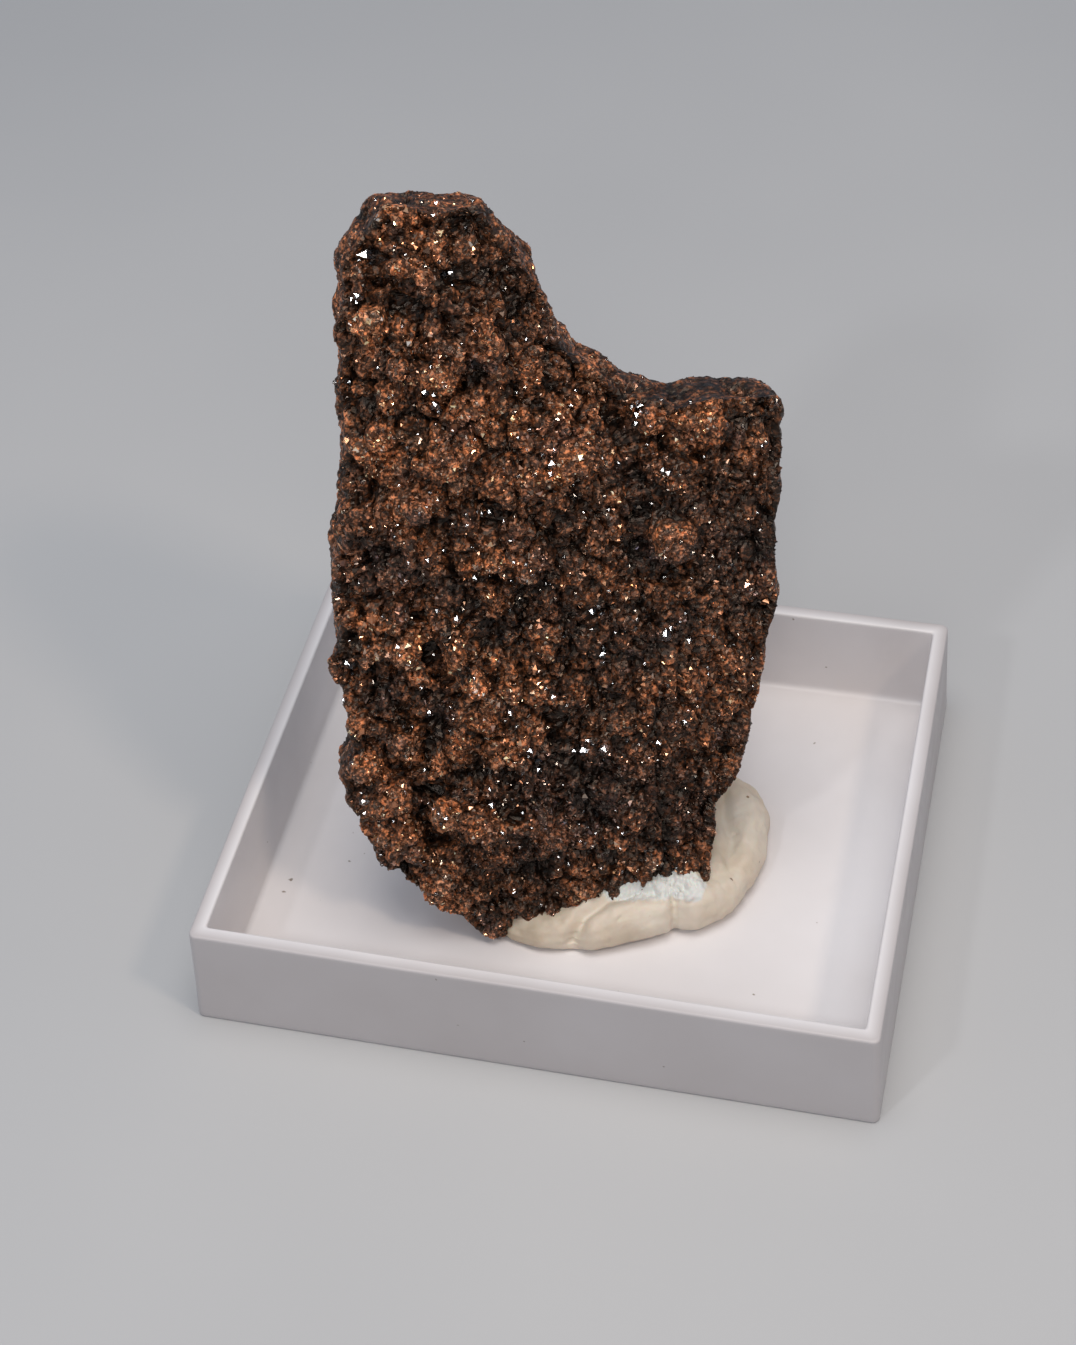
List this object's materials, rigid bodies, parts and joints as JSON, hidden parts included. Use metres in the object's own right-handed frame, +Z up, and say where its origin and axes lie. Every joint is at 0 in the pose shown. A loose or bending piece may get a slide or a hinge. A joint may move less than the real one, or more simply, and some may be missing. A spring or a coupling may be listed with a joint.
{
  "type": "petrified wood specimen",
  "caption": "Upright slab of petrified wood with a dark, sparkling crystal crust, pressed into putty in a white specimen tray.",
  "frame": {"origin": "middle of the tray's underside, on the surface that it stands on", "axes": "+Z up, +X along the tray's long side to the right, -Y towards the front, where the slab's crystal face looks"},
  "size_m": [0.0568, 0.047, 0.0646],
  "materials": {
    "crystal_crust": "gloss",
    "putty": "satin",
    "tray_plastic": "satin"
  },
  "bodies": {
    "root": {"petrified_wood": "crystal_crust", "mounting_putty": "putty", "tray": "tray_plastic"}
  },
  "joints": []
}
